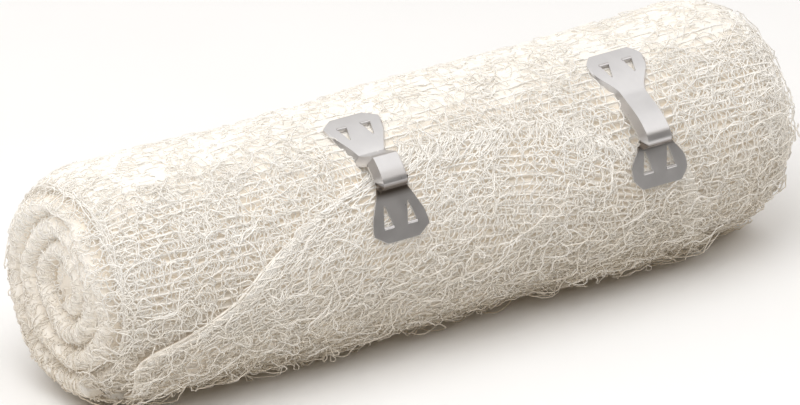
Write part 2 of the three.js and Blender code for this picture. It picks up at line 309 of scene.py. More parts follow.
# A point of an end face: turn n, across it from its inner groove (0) to its outer one (1).
def endPoint(side, fraction, n, across, height=0.0):
    edges = endEdges(side, fraction)
    radius = edges[n] + (edges[n + 1] - edges[n]) * across
    angle = woundRoll["liftAngle"] + 360 * fraction
    a = np.radians(angle)
    grooves, crests = endTurns["groove"] + [3.0, 3.0], endTurns["crest"] + [0.0]
    inner = grooves[n] + (grooves[n + 1] - grooves[n]) * fraction
    outer = grooves[n + 1] + (grooves[n + 2] - grooves[n + 1]) * fraction
    crest = crests[n] + (crests[n + 1] - crests[n]) * fraction
    crest = crest + rimDepth(side, edges[4] - 0.5 * (edges[n] + edges[n + 1]))
    inner = inner + 0.7 * rimDepth(side, edges[4] - edges[n])
    y, z = radius * np.cos(a), radius * np.sin(a)
    (coarse, coarseSize), (fine, fineSize) = endTurns["lumps"]
    bumps = coarse * ripple(y, z, 0 * a, 41 + int(side), coarseSize)
    bumps = bumps + fine * ripple(y, z, 0 * a, 43, fineSize)
    groove = np.where(across < 0.5, inner, outer)
    bulge = bulgeAt(across)
    depth = crest + (groove - crest) * (1 - bulge)
    if n == 3:
        shoulder = rimDepth(side, (1 - across) * (edges[4] - edges[3]))
        depth = np.where(across > 0.5, shoulder, depth)
        bumps = bumps * (1 - smoothStep(across, 0.25, 0.5))
    depth = np.maximum(depth + bumps * bulge, endTurns["shallowest"])
    return offCentre(placed(side * (halfLength - depth + height), angle, radius), radius)


# Shifts a point of an end face with the core, the more the nearer it lies to it.
def offCentre(spot, radius):
    share = np.clip(1 - radius / (woundRoll["innerRadius"] - 3), 0, 1)
    dy, dz = endTurns["offCentre"]
    return spot + np.stack([0 * share, dy * share, dz * share], -1)


# Meshes


def meshObject(name, points, faces, attributes=None):
    mesh = bpy.data.meshes.new(name)
    mesh.from_pydata((points * mm).tolist(), [], faces.tolist())
    for key, values in (attributes or {}).items():
        mesh.attributes.new(key, "FLOAT", "POINT").data.foreach_set("value", values)
    mesh.shade_smooth()
    mesh.update()
    piece = bpy.data.objects.new(name, mesh)
    bpy.context.collection.objects.link(piece)
    return piece


# Joins two columns of the roll that don't match, each step on the one that lags behind.
def stitch(left, right):
    faces, i, j = [], 0, 0
    while i < len(left) - 1 or j < len(right) - 1:
        onLeft = left[i + 1][1] if i < len(left) - 1 else math.inf
        onRight = right[j + 1][1] if j < len(right) - 1 else math.inf
        if onLeft <= onRight:
            face = (left[i][0], right[j][0], left[i + 1][0])
            i += 1
        else:
            face = (left[i][0], right[j][0], right[j + 1][0])
            j += 1
        if len(set(face)) == 3:
            faces.append(face)
    return faces


# The rings of one end face from the core out: points, radius and how much painted shade lies there,
# most of it in the grooves.
def endRings(side, fraction):
    rings = []
    edges = endEdges(side, fraction)
    angle = woundRoll["liftAngle"] + 360 * fraction
    for share, depth in endTurns["core"]:
        spot = placed(side * (halfLength - depth), angle, edges[0] * share)
        rings.append((offCentre(spot, edges[0] * share), edges[0] * share, 0.4 + 0 * fraction))
    for n in range(4):
        for across in endTurns["across"][:5 if n == 3 else None]:
            radius = edges[n] + (edges[n + 1] - edges[n]) * across
            spot = endPoint(side, fraction, n, across + 0 * fraction)
            rings.append((spot, radius, 1 - bulgeAt(across) + 0 * fraction))
    return rings


def buildWoundCloth():
    count = woundRoll["columns"]
    fraction = np.append(np.arange(count) / count, 1 - 1 / 900)  # the last column tops the step
    angle = woundRoll["liftAngle"] + 360 * fraction
    top = topShare(angle)
    lump, lumpSize = woundRoll["lumps"]
    rings = endRings(-1, fraction)
    nearEdge, farEdge = (endEdges(side, fraction) for side in (-1, 1))
    nearMost = rimDepth(-1, 0.5 * (nearEdge[4] - nearEdge[3])) - halfLength
    farMost = halfLength - rimDepth(1, 0.5 * (farEdge[4] - farEdge[3]))
    for t in np.linspace(0, 1, woundRoll["sideRings"]):
        t = t - 0.06 * math.sin(2 * math.pi * t)  # rings lie closer near the ends
        x = nearMost + (farMost - nearMost) * t
        wave = np.cos(2 * math.pi * ribPhase(x, angle))
        fade = 1 - smoothStep(np.abs(x), 69, 72)
        sink = woundRoll["sink"] * (1 - 0.8 * top)
        relief = woundRoll["ribRise"] * (wave - 0.3) + lump * rollRipple(x, angle, 21, lumpSize)
        height = -sink + relief * (1 - 0.6 * top) * fade
        # painted shade: darker in the rib troughs, and less of it over the top where the light falls
        shade = (0.5 - 0.5 * wave) * (1 - 0.9 * top)
        rings.append((sidePoint(x, angle, height), 200 + x, shade))
    for spot, radius, hollow in reversed(endRings(1, fraction)):
        rings.append((spot, 400 - radius, hollow))
    spots = np.stack([ring[0] for ring in rings], 1)
    order = np.stack([ring[1] for ring in rings], 1)
    hollow = np.stack([ring[2] for ring in rings], 1)
    columns, across = spots.shape[:2]
    pole = halfLength - endTurns["pole"]
    poles = offCentre(placed(np.array([-pole, pole]), 0, 0), np.zeros(2))
    points = np.concatenate([spots.reshape(-1, 3), poles])
    shade = np.concatenate([hollow.ravel(), [0.4, 0.4]])
    nearPole, farPole = len(points) - 2, len(points) - 1
    index = np.arange(columns * across).reshape(columns, across)
    a, b = index[:-1, :-1], index[1:, :-1]
    c, d = index[1:, 1:], index[:-1, 1:]
    faces = np.concatenate([
        np.stack([a, b, c], -1).reshape(-1, 3), np.stack([a, c, d], -1).reshape(-1, 3),
        np.stack([0 * a[:, 0] + nearPole, b[:, 0], a[:, 0]], -1),
        np.stack([0 * a[:, 0] + farPole, d[:, -1], c[:, -1]], -1),
    ])
    ends = []
    for column in (columns - 1, 0):
        run = [(nearPole, 0.0)] + list(zip(index[column].tolist(), order[column].tolist()))
        ends.append(run + [(farPole, 400.0)])
    faces = np.concatenate([faces, np.array(stitch(*ends))])
    return points, faces, shade


points, faces, hollow = buildWoundCloth()
woundCloth = meshObject("woundCloth", points, faces, {"hollow": hollow})
print("wound cloth", len(faces))


# Loose end


# The place at share t of the length of a line of (distance, angle) points.
def alongLine(line, t):
    line = np.array(line, float)
    step = np.hypot(np.diff(line[:, 0]), np.diff(line[:, 1]) * looseEnd["perDegree"])
    run = np.concatenate([[0], np.cumsum(step)])
    t = t * run[-1]
    return np.interp(t, run, line[:, 0]), np.interp(t, run, line[:, 1])


# Place on the loose end: u from its near edge to its far edge, v from its root to its cut end.
def looseSpot(u, v):
    inside = np.minimum(v, 1)
    nearX, nearAngle = alongLine(looseEnd["nearEdge"], inside)
    farX, farAngle = alongLine(looseEnd["farEdge"], inside)
    x, angle = nearX + (farX - nearX) * u, nearAngle + (farAngle - nearAngle) * u
    cutX, cutAngle = alongLine(looseEnd["cutEnd"], u)
    (x0, a0), (x1, a1) = looseEnd["cutEnd"][0], looseEnd["cutEnd"][-1]
    share = inside ** 1.25
    x = x + share * (cutX - x0 - (x1 - x0) * u)
    angle = angle + share * (cutAngle - a0 - (a1 - a0) * u)
    fray = np.maximum(v - 1, 0) * looseEnd["frayTurn"]  # past the cut end the yarns run on up the roll
    return x - halfLength, angle + fray, farX - nearX


def looseBelow(x, angle):
    held = np.maximum(angle, woundRoll["liftAngle"] + 0.5)
    sag = looseEnd["drape"] * np.maximum(rimDrop(x) - looseEnd["bridge"], 0) * (x < 0)
    return sideRadius(x, held) + looseEnd["lift"] - sag


def edgeDistance(u, width):
    return np.minimum(u, 1 - u) * width


# 1 on the woven bands along both edges.
def bandShare(distance):
    return 1 - smoothStep(distance, looseEnd["bandWidth"], looseEnd["bandWidth"] + looseEnd["bandFade"])


def looseThickness(v):
    left, reach = looseEnd["cutThin"]
    return looseEnd["thickness"] * (left + (1 - left) * smoothStep((1 - v) * looseEnd["run"], 0, reach))


def loosePoint(u, v, height):
    x, angle, width = looseSpot(u, v)
    band = bandShare(edgeDistance(u, width))
    height = height * (1 - 0.75 * pressed(x, angle)) + band * looseEnd["bandRise"]
    return placed(x, angle, looseBelow(x, angle) + looseThickness(v) + height)


def buildLooseCloth():
    v = np.linspace(0, 1, looseEnd["rows"] + 1)
    spread = np.linspace(0, 1, looseEnd["across"] + 1)
    u = spread - 0.09 * np.sin(2 * math.pi * spread)
    u, v = np.meshgrid(u, v)
    x, angle, width = looseSpot(u, v)
    distance = edgeDistance(u, width)
    cut = (1 - v) * looseEnd["run"]
    soft = np.clip(np.minimum(distance / 1.6, (cut + 0.15) / 0.8), 0, 1)
    full = 0.2 + 0.8 * np.sqrt(1 - (1 - soft) ** 2)  # the edges round off
    band = bandShare(distance)
    wave = np.cos(2 * math.pi * v * looseEnd["ribs"])
    relief = looseEnd["ribRise"] * (wave - 0.3) * (1 - band) - looseEnd["sink"]
    relief = relief + 0.1 * rollRipple(x, angle, 22, woundRoll["lumps"][1])
    relief = relief * (1 - 0.5 * pressed(x, angle)) + band * looseEnd["bandRise"]
    below = looseBelow(x, angle)
    thick = looseThickness(v) + relief
    root = 0.7 * (v == 0)  # the root's end face slants
    top = placed(x, angle - root, below + 0.5 * thick * (1 + full))
    bottom = placed(x, angle, below + 0.5 * thick * (1 - full))
    rows, across = u.shape
    index = np.arange(rows * across).reshape(rows, across)
    under = index + rows * across
    faces = [
        (index[:-1, :-1], index[:-1, 1:], index[1:, 1:], index[1:, :-1]),
        (under[:-1, :-1], under[1:, :-1], under[1:, 1:], under[:-1, 1:]),
        (index[0, :-1], under[0, :-1], under[0, 1:], index[0, 1:]),
        (index[-1, 1:], under[-1, 1:], under[-1, :-1], index[-1, :-1]),
        (index[1:, 0], under[1:, 0], under[:-1, 0], index[:-1, 0]),
        (index[:-1, -1], under[:-1, -1], under[1:, -1], index[1:, -1]),
    ]
    quads = np.concatenate([np.stack(face, -1).reshape(-1, 4) for face in faces])
    # painted shade: darker in the rib troughs, and a share of it on the underside
    shade = (0.5 - 0.5 * wave) * (1 - band)
    points = np.concatenate([top.reshape(-1, 3), bottom.reshape(-1, 3)])
    return points, quads, np.concatenate([shade.ravel(), shade.ravel() * 0 + 0.6])


def areaOf(points, quads):
    a, b, c, d = (points[quads[:, k]] for k in range(4))
    return 0.5 * np.linalg.norm(np.cross(c - a, d - b), axis=1).sum()


points, quads, hollow = buildLooseCloth()
looseCloth = meshObject("looseCloth", points, quads, {"hollow": hollow})
topFaces = looseEnd["rows"] * looseEnd["across"]
looseArea = areaOf(points, quads[:topFaces]) * mm * mm
print("loose cloth", 2 * len(quads), "area", round(looseArea, 5))


# True where the loose end lies over the roll; margin keeps a little clear of its edges.
def underLoose(x, angle, margin):
    rows = [(a, x) for x, a in looseEnd["nearEdge"] + looseEnd["cutEnd"][1:5]]
    low = np.interp(angle, [row[0] for row in rows], [row[1] for row in rows])
    far = looseEnd["farEdge"] + looseEnd["cutEnd"][:4:-1]
    high = np.interp(angle, [row[1] for row in far], [row[0] for row in far])
    inside = (x + halfLength > low + margin) & (x + halfLength < high - margin)
    return inside & (angle > woundRoll["liftAngle"] - 1) & (angle < looseEnd["topAngle"])


# Trees


def addNode(tree, kind, settings=None, inputs=None):
    node = tree.nodes.new(kind)
    for key, value in (settings or {}).items():
        setattr(node, key, value)
    for key, value in (inputs or {}).items():
        socket = node.inputs[key]
        if isinstance(value, bpy.types.NodeSocket):
            tree.links.new(value, socket)
        else:
            socket.default_value = value
    return node


def newTree(name, sockets):
    tree = bpy.data.node_groups.new(name, "GeometryNodeTree")
    tree.interface.new_socket(name="Geometry", in_out="INPUT", socket_type="NodeSocketGeometry")
    tree.interface.new_socket(name="Geometry", in_out="OUTPUT", socket_type="NodeSocketGeometry")
    for label, kind in sockets:
        tree.interface.new_socket(name=label, in_out="INPUT", socket_type="NodeSocket" + kind)
    return tree, tree.nodes.new("NodeGroupInput").outputs


# Runs a tree on an object and leaves the plain mesh it makes.
def grown(source, name, tree, values):
    modifier = source.modifiers.new(name, "NODES")
    modifier.node_group = tree
    for item in tree.interface.items_tree:
        if item.in_out == "INPUT" and item.name in values:
            modifier[item.identifier] = values[item.name]
    depsgraph = bpy.context.evaluated_depsgraph_get()
    mesh = bpy.data.meshes.new_from_object(source.evaluated_get(depsgraph), depsgraph=depsgraph)
    mesh.name = name
    bpy.data.objects.remove(source)
    piece = bpy.data.objects.new(name, mesh)
    bpy.context.collection.objects.link(piece)
    mesh.calc_loop_triangles()
    print(name, len(mesh.loop_triangles))
    return piece


# Ends a tree: sweeps lines into yarn of a width and gives it its material.
def sweepYarn(tree, given, line, width):
    ring = addNode(tree, "GeometryNodeCurvePrimitiveCircle", {"mode": "RADIUS"},
                   {"Resolution": given["Sides"], "Radius": 0.5})
    tube = addNode(tree, "GeometryNodeCurveToMesh", inputs={
        "Curve": line, "Profile Curve": ring.outputs["Curve"], "Scale": width, "Fill Caps": True})
    smooth = addNode(tree, "GeometryNodeSetShadeSmooth", inputs={"Geometry": tube.outputs[0]})
    whole = addNode(tree, "GeometryNodeRealizeInstances", inputs={"Geometry": smooth.outputs[0]})
    dressed = addNode(tree, "GeometryNodeSetMaterial", inputs={
        "Geometry": whole.outputs[0], "Material": given["Yarn Material"]})
    output = tree.nodes.new("NodeGroupOutput")
    tree.links.new(dressed.outputs[0], output.inputs[0])
    return tree


# Sweeps guide lines into yarn, with a small crimp along it.
def yarnTree():
    tree, given = newTree("yarnFromGuides", [
        ("Yarn Width", "Float"), ("Sides", "Int"), ("Crimp", "Float"), ("Crimp Size", "Float"),
        ("Yarn Material", "Material")])
    line = addNode(tree, "GeometryNodeMeshToCurve", inputs={"Mesh": given["Geometry"]})
    scale = addNode(tree, "ShaderNodeMath", {"operation": "DIVIDE"}, {0: 1.0, 1: given["Crimp Size"]})
    noise = addNode(tree, "ShaderNodeTexNoise", inputs={"Scale": scale.outputs[0], "Detail": 1.0})
    shift = addNode(tree, "ShaderNodeVectorMath", {"operation": "SUBTRACT"},
                    {0: noise.outputs["Color"], 1: (0.5, 0.5, 0.5)})
    crimp = addNode(tree, "ShaderNodeVectorMath", {"operation": "SCALE"},
                    {0: shift.outputs[0], "Scale": given["Crimp"]})
    bent = addNode(tree, "GeometryNodeSetPosition",
                   inputs={"Geometry": line.outputs[0], "Offset": crimp.outputs[0]})
    width = addNode(tree, "GeometryNodeInputNamedAttribute", {"data_type": "FLOAT"}, {"Name": "width"})
    across = addNode(tree, "ShaderNodeMath", {"operation": "MULTIPLY"},
                     {0: width.outputs[0], 1: given["Yarn Width"]})
    return sweepYarn(tree, given, bent.outputs[0], across.outputs[0])


# Strews curled snarls of yarn over a skin, standing on it and turned at random.
def curlTree():
    tree, given = newTree("curlsOnCloth", [
        ("Curls Per Square Metre", "Float"), ("Smallest", "Float"), ("Largest", "Float"),
        ("Height", "Float"), ("Turn", "Float"), ("Apart", "Float"), ("Lowest", "Float"),
        ("Yarn Width", "Float"), ("Sides", "Int"), ("Seed", "Int"),
        ("Curl Kinds", "Collection"), ("Yarn Material", "Material")])
    share = addNode(tree, "GeometryNodeInputNamedAttribute", {"data_type": "FLOAT"}, {"Name": "share"})
    spots = addNode(tree, "GeometryNodeDistributePointsOnFaces", {"distribute_method": "POISSON"}, {
        "Mesh": given["Geometry"], "Density Max": given["Curls Per Square Metre"],
        "Distance Min": given["Apart"], "Density Factor": share.outputs[0], "Seed": given["Seed"]})
    stand = addNode(tree, "FunctionNodeAxesToRotation", {"primary_axis": "Z", "secondary_axis": "X"},
                    {"Primary Axis": spots.outputs["Normal"], "Secondary Axis": (1, 0, 0)})
    less = addNode(tree, "ShaderNodeMath", {"operation": "MULTIPLY"}, {0: given["Turn"], 1: -1.0})
    chance = addNode(tree, "FunctionNodeRandomValue", {"data_type": "FLOAT"}, {"Seed": given["Seed"]})
    tree.links.new(less.outputs[0], chance.inputs[2])
    tree.links.new(given["Turn"], chance.inputs[3])
    spin = addNode(tree, "FunctionNodeAxisAngleToRotation",
                   inputs={"Axis": (0, 0, 1), "Angle": chance.outputs[1]})
    turned = addNode(tree, "FunctionNodeRotateRotation", {"rotation_space": "LOCAL"},
                     {"Rotation": stand.outputs[0], "Rotate By": spin.outputs[0]})
    size = addNode(tree, "FunctionNodeRandomValue", {"data_type": "FLOAT"}, {"Seed": 3})
    tree.links.new(given["Smallest"], size.inputs[2])
    tree.links.new(given["Largest"], size.inputs[3])
    tall = addNode(tree, "ShaderNodeMath", {"operation": "MULTIPLY"},
                   {0: size.outputs[1], 1: given["Height"]})
    scale = addNode(tree, "ShaderNodeCombineXYZ",
                    inputs={0: size.outputs[1], 1: size.outputs[1], 2: tall.outputs[0]})
    kinds = addNode(tree, "GeometryNodeCollectionInfo", inputs={
        "Collection": given["Curl Kinds"], "Separate Children": True, "Reset Children": True})
    strewn = addNode(tree, "GeometryNodeInstanceOnPoints", inputs={
        "Points": spots.outputs["Points"], "Instance": kinds.outputs[0], "Pick Instance": True,
        "Rotation": turned.outputs[0], "Scale": scale.outputs[0]})
    tint = addNode(tree, "FunctionNodeRandomValue", {"data_type": "FLOAT"}, {"Seed": 8})
    noted = addNode(tree, "GeometryNodeStoreNamedAttribute",
                    {"data_type": "FLOAT", "domain": "INSTANCE"},
                    {"Geometry": strewn.outputs[0], "Name": "tint", "Value": tint.outputs[1]})
    whole = addNode(tree, "GeometryNodeRealizeInstances", inputs={"Geometry": noted.outputs[0]})
    line = addNode(tree, "GeometryNodeMeshToCurve", inputs={"Mesh": whole.outputs[0]})
    place = addNode(tree, "GeometryNodeInputPosition")
    parts = addNode(tree, "ShaderNodeSeparateXYZ", inputs={0: place.outputs[0]})
    above = addNode(tree, "ShaderNodeMath", {"operation": "MAXIMUM"},
                    {0: parts.outputs[2], 1: given["Lowest"]})
    lifted = addNode(tree, "ShaderNodeCombineXYZ",
                     inputs={0: parts.outputs[0], 1: parts.outputs[1], 2: above.outputs[0]})
    rested = addNode(tree, "GeometryNodeSetPosition",
                     inputs={"Geometry": line.outputs[0], "Position": lifted.outputs[0]})
    return sweepYarn(tree, given, rested.outputs[0], given["Yarn Width"])


# Materials


class Wire:
    def __init__(self, tree, socket):
        self.tree = tree
        self.socket = socket

    def math(self, operation, a, b):
        node = self.tree.nodes.new("ShaderNodeMath")
        node.operation = operation
        for k, value in enumerate((a, b)):
            if isinstance(value, Wire):
                self.tree.links.new(value.socket, node.inputs[k])
            else:
                node.inputs[k].default_value = value
        return Wire(self.tree, node.outputs[0])

    def __add__(self, other):
        return self.math("ADD", self, other)

    def __sub__(self, other):
        return self.math("SUBTRACT", self, other)

    def __mul__(self, other):
        return self.math("MULTIPLY", self, other)

    def __rsub__(self, other):
        return self.math("SUBTRACT", other, self)

    __radd__ = __add__
    __rmul__ = __mul__

    def node(self, kind, settings=None, inputs=None, output=0):
        made = self.tree.nodes.new(kind)
        for key, value in (settings or {}).items():
            if key == "stops":
                ramp = made.color_ramp
                while len(ramp.elements) < len(value):
                    ramp.elements.new(0.5)
                for element, (place, colour) in zip(ramp.elements, value):
                    element.position, element.color = place, (*colour, 1)
            else:
                setattr(made, key, value)
        for key, value in (inputs or {}).items():
            if isinstance(value, Wire):
                self.tree.links.new(value.socket, made.inputs[key])
            else:
                made.inputs[key].default_value = value
        return Wire(self.tree, made.outputs[output])

    def mix(self, a, b, share):
        return self.node("ShaderNodeMix", {"data_type": "RGBA"}, {0: share, 6: a, 7: b}, 2)


def newMaterial(name, constants):
    material = bpy.data.materials.new(name)
    material.use_nodes = True
    tree = material.node_tree
    shader = tree.nodes["Principled BSDF"]
    for key, value in constants.items():
        shader.inputs[key].default_value = value
    start = Wire(tree, None)
    place = start.node("ShaderNodeTexCoord", output=3)
    return material, shader, place


def feed(material, shader, values):
    for key, wire in values.items():
        material.node_tree.links.new(wire.socket, shader.inputs[key])


cotton = {
    "ivory": (0.95, 0.928, 0.888, 1),
    "cream": (0.925, 0.885, 0.82, 1),
    # painted shade that the ground cloth gets in its hollows and grooves
    "hollow": (0.68, 0.555, 0.385, 1),
    "lowShade": (0.8, 0.725, 0.61, 1),       # painted shade: yarn low on the roll darker, where it lies in shadow
    "lowShadeFrom": 0.032, "lowShadeTo": 0.004,  # heights in metres
    # painted light: the cotton glows warmly in place of the light the loose fibres pass on among
    # themselves, most of it on top and little low down
    "paintedGlowTint": (1, 0.955, 0.89, 1), "paintedGlowLow": (0.25, 0.2, 0.14, 1),
    "paintedGlow": 0.1,
}


def cottonMaterial(name, roughness):
    # painted light: the cotton glows a little, lifting its shadows
    return newMaterial(name, {"Roughness": roughness, "Emission Strength": cotton["paintedGlow"]})


# 0 from a little above the middle of the roll upward, 1 at the floor.
def lowShare(place):
    height = place.node("ShaderNodeSeparateXYZ", inputs={0: place}, output=2)
    return height.node("ShaderNodeMapRange", inputs={
        0: height, 1: cotton["lowShadeFrom"], 2: cotton["lowShadeTo"]})


def groundMaterial():
    material, shader, place = cottonMaterial("crepeGround", 0.95)
    hollow = place.node("ShaderNodeAttribute", {"attribute_name": "hollow"}, output=2)
    cloud = place.node("ShaderNodeTexNoise", inputs={"Vector": place, "Scale": 140.0, "Detail": 3.0})
    fine = place.node("ShaderNodeTexNoise", inputs={"Vector": place, "Scale": 1600.0, "Detail": 2.0})
    # painted shade: the ground darkens towards this tan where its hollows and grooves lie
    colour = place.mix(cotton["cream"], cotton["hollow"], hollow * (0.7 + cloud * 0.5))
    colour = place.mix(colour, cotton["ivory"], fine * 0.5)
    bump = place.node("ShaderNodeBump", inputs={"Height": fine, "Strength": 0.6, "Distance": 0.0003})
    # painted light: the glow is strongest high on the roll and faint low down
    glow = place.mix(cotton["paintedGlowTint"], cotton["paintedGlowLow"], lowShare(place))
    feed(material, shader, {"Base Color": colour, "Emission Color": glow, "Normal": bump})
    return material


def yarnMaterial():
    material, shader, place = cottonMaterial("crepeYarn", 0.9)
    tint = place.node("ShaderNodeAttribute", {"attribute_name": "tint"}, output=2)
    cloud = place.node("ShaderNodeTexNoise", inputs={"Vector": place, "Scale": 300.0, "Detail": 2.0})
    fibre = place.node("ShaderNodeTexNoise", inputs={"Vector": place, "Scale": 5000.0, "Detail": 1.0})
    colour = place.mix(cotton["cream"], cotton["ivory"], tint * 0.7 + cloud * 0.6)
    low = lowShare(place)
    # painted shade: yarn turns darker low on the roll, where it lies in shadow
    colour = place.mix(colour, cotton["lowShade"], low * (1 - tint * 0.6))
    bump = place.node("ShaderNodeBump", inputs={"Height": fibre, "Strength": 0.5, "Distance": 0.0001})
    # painted light: the glow is strongest high on the roll and faint low down
    glow = place.mix(cotton["paintedGlowTint"], cotton["paintedGlowLow"], low)
    feed(material, shader, {"Base Color": colour, "Emission Color": glow, "Normal": bump})
    return material


def clipMaterial():
    material, shader, place = newMaterial("satinTinplate", {"Metallic": 0.78})
    flow = place.node("ShaderNodeMapping", inputs={"Vector": place, "Scale": (3000.0, 260.0, 260.0)})
    brushed = place.node("ShaderNodeTexNoise", inputs={"Vector": flow, "Scale": 1.0, "Detail": 3.0})
    cloud = place.node("ShaderNodeTexNoise", inputs={"Vector": place, "Scale": 320.0, "Detail": 2.0})
    foldShade = place.node("ShaderNodeAttribute", {"attribute_name": "fold"}, output=2)
    colour = place.mix((0.65, 0.635, 0.635, 1), (0.77, 0.755, 0.75, 1), cloud)
    # painted shade: the bend turns near black-brown, standing in for its shadow and dark reflection
    colour = place.mix(colour, (0.16, 0.13, 0.105, 1), foldShade)
    bump = place.node("ShaderNodeBump", inputs={"Height": brushed, "Strength": 0.2, "Distance": 0.0001})
    feed(material, shader, {
        "Base Color": colour, "Roughness": cloud * 0.12 + brushed * 0.06 + 0.22, "Normal": bump})
    return material


groundLook = groundMaterial()
yarnLook = yarnMaterial()
clipLook = clipMaterial()
for piece in (woundCloth, looseCloth):
    piece.data.materials.append(groundLook)
print("materials made")

# Yarns. Each family is an array of lines: line, point along it, coordinate.

guideTree = yarnTree()
lowestYarn = 0.3  # yarns underneath lie on the floor, not in it


def yarnsFrom(name, points, keep, width, tint, crimp, sides=3):
    points[..., 2] = np.maximum(points[..., 2], lowestYarn)
    count, along = points.shape[:2]
    index = np.arange(count * along).reshape(count, along)
    solid = keep[:, :-1] & keep[:, 1:]
    edges = np.stack([index[:, :-1][solid], index[:, 1:][solid]], -1)
    used, edges = np.unique(edges, return_inverse=True)
    mesh = bpy.data.meshes.new(name)
    mesh.from_pydata((points.reshape(-1, 3)[used] * mm).tolist(), edges.reshape(-1, 2).tolist(), [])
    for key, values in (("width", width), ("tint", tint)):
        values = np.broadcast_to(values, keep.shape).ravel()[used].astype(np.float32)
        mesh.attributes.new(key, "FLOAT", "POINT").data.foreach_set("value", values)
    guides = bpy.data.objects.new(name, mesh)
    bpy.context.collection.objects.link(guides)
    return grown(guides, name, guideTree, {
        "Yarn Width": mm, "Sides": sides, "Crimp": crimp * mm, "Crimp Size": 1.6 * mm,
        "Yarn Material": yarnLook})


sideYarns = {
    "wefts": 76, "weftPoints": 120, "weftWidth": 0.4, "weftHeight": 0.12,
    "warps": 168, "warpPoints": 150, "warpWidth": 0.3, "warpWave": 0.26, "warpKink": 0.8,
    "bandYarns": 6, "bandPitch": 0.34, "bandWidth": 0.34,
    "crimp": 0.6,
}


def sideWefts():
    rng = np.random.default_rng(101)
    x = np.linspace(4.4 - halfLength, halfLength - 1.2, sideYarns["weftPoints"])[None, :]
    nominal = (np.arange(sideYarns["wefts"]) * ribDegrees + woundRoll["liftAngle"] + 3)[:, None]
    angle = np.round(nominal / ribDegrees) * ribDegrees + ribDrift(x, nominal)
    phase = rng.uniform(0, 6.28, nominal.shape)
    lift = 0.16 * np.sin(x * 2.4 + phase) + 0.12 * rollRipple(x, angle, 51, 6)
    lift = lift * (1 - 0.8 * topShare(angle)) - 0.2 * topShare(angle)
    points = sidePoint(x + 0 * angle, angle, sideYarns["weftHeight"] + lift)
    keep = ~underLoose(x + 0 * angle, inTurn(angle), 2.0)
    width = sideYarns["weftWidth"] * (1 + 0.25 * rollRipple(x, angle, 52, 5))
    tint = np.clip(0.55 + 0.35 * rollRipple(x, angle, 53, 12), 0, 1)
    return yarnsFrom("weftYarns", points, keep, width, tint, sideYarns["crimp"])


def sideWarps():
    rng = np.random.default_rng(102)
    count = sideYarns["warps"]
    reach = halfLength - 4.2
    base = np.linspace(-reach, reach, count) + rng.uniform(-0.3, 0.3, count)
    step = np.linspace(0, 1, sideYarns["warpPoints"])[None, :]
    angle = woundRoll["liftAngle"] + 0.6 + 358.5 * step
    phase = rng.uniform(0, 6.28, (count, 1))
    strand = np.arange(count)[:, None]
    rib = ribPhase(base[:, None], angle)
    sway = 0.5 * np.sin(2 * math.pi * rib + phase) + 0.55 * ripple(angle * 0.4, strand * 9.0, 0, 61, 5)
    x = base[:, None] + sideYarns["warpKink"] * sway
    wave = np.cos(math.pi * (rib + strand))
    height = 0.1 + sideYarns["warpWave"] * wave + 0.2 * ripple(angle * 0.4, strand * 7.0, 0, 62, 4)
    height = height * (1 - 0.8 * topShare(angle)) - 0.16 * topShare(angle)
    points = sidePoint(x, angle + 0 * x, height)
    keep = ~underLoose(x, angle + 0 * x, 2.0) & (topShare(angle) < rng.uniform(0.2, 1.2, (count, 1)))
    tint = np.clip(0.5 + 0.4 * ripple(angle * 0.4, strand * 5.0, 0, 63, 9), 0, 1)
    return yarnsFrom("warpYarns", points, keep, sideYarns["warpWidth"], tint, sideYarns["crimp"])


def sideBands():
    lines = []
    angle = np.linspace(woundRoll["liftAngle"] + 0.6, woundRoll["liftAngle"] + 359, 200)
    for side, first, count in ((-1, 3.6, 3), (1, 3.0, sideYarns["bandYarns"])):
        for n in range(count):
            offset = n * sideYarns["bandPitch"] + first
            x = side * (halfLength - offset) + 0.14 * ripple(angle * 0.4, n * 5.0, side, 71, 6)
            height = 0.05 + 0.12 * ripple(angle * 0.4, n * 3.0, side, 72, 4)
            lines.append(sidePoint(x, angle, height))
    points = np.stack(lines)
    turned = np.broadcast_to(angle, points.shape[:2])
    keep = ~underLoose(points[..., 0], turned, 1.0)
    return yarnsFrom("edgeBands", points, keep, sideYarns["bandWidth"], 0.6, 0.35)


# Small loops of weft that turn over the crest of each turn at the end faces.
endLoops = {"pitch": 0.38, "points": 6, "width": 0.3, "slant": 3.4, "height": 0.05}


def endFaceLoops():
    rng = np.random.default_rng(103)
    lines = []
    for side in (-1, 1):
        for n in range(4):
            inner = endTurns["edge"][n]
            length = 2 * math.pi * (inner + 5)
            for fraction in np.arange(0, 1, endLoops["pitch"] / length):
                start = rng.uniform(0.03, 0.56)
                across = np.linspace(start, start + rng.uniform(0.2, 0.42), endLoops["points"])
                slant = rng.uniform(-1, 1) * endLoops["slant"] / (inner + 3) / 6.28
                bend = rng.uniform(-1, 1) * 0.6 / (inner + 3) / 6.28
                along = fraction + slant * (across - 0.5) + bend * np.sin(math.pi * across)
                along = np.clip(along, 0, 0.999)
                rise = endLoops["height"] + rng.uniform(-0.15, 0.3) * np.sin(math.pi * across)
                lines.append(endPoint(side, along, n, across, rise))
    points = np.stack(lines)
    keep = np.ones(points.shape[:2], bool)
    tint = rng.uniform(0.1, 0.9, (len(lines), 1))
    return yarnsFrom("endLoops", points, keep, endLoops["width"], tint, 0.5)


looseYarns = {
    "weftPoints": 120, "weftWidth": 0.38, "weftHeight": 0.12,
    "warps": 110, "warpPoints": 80, "warpWidth": 0.3, "warpWave": 0.26, "warpKink": 0.8,
    "bandYarns": 11, "bandPitch": 0.28, "bandWidth": 0.34,
    "frayed": 260, "frayPoints": 9, "frayLength": 3.2, "frayWidth": 0.24,
    "frayRun": 37,      # millimetres that a run of 1 past the cut end stands for
}


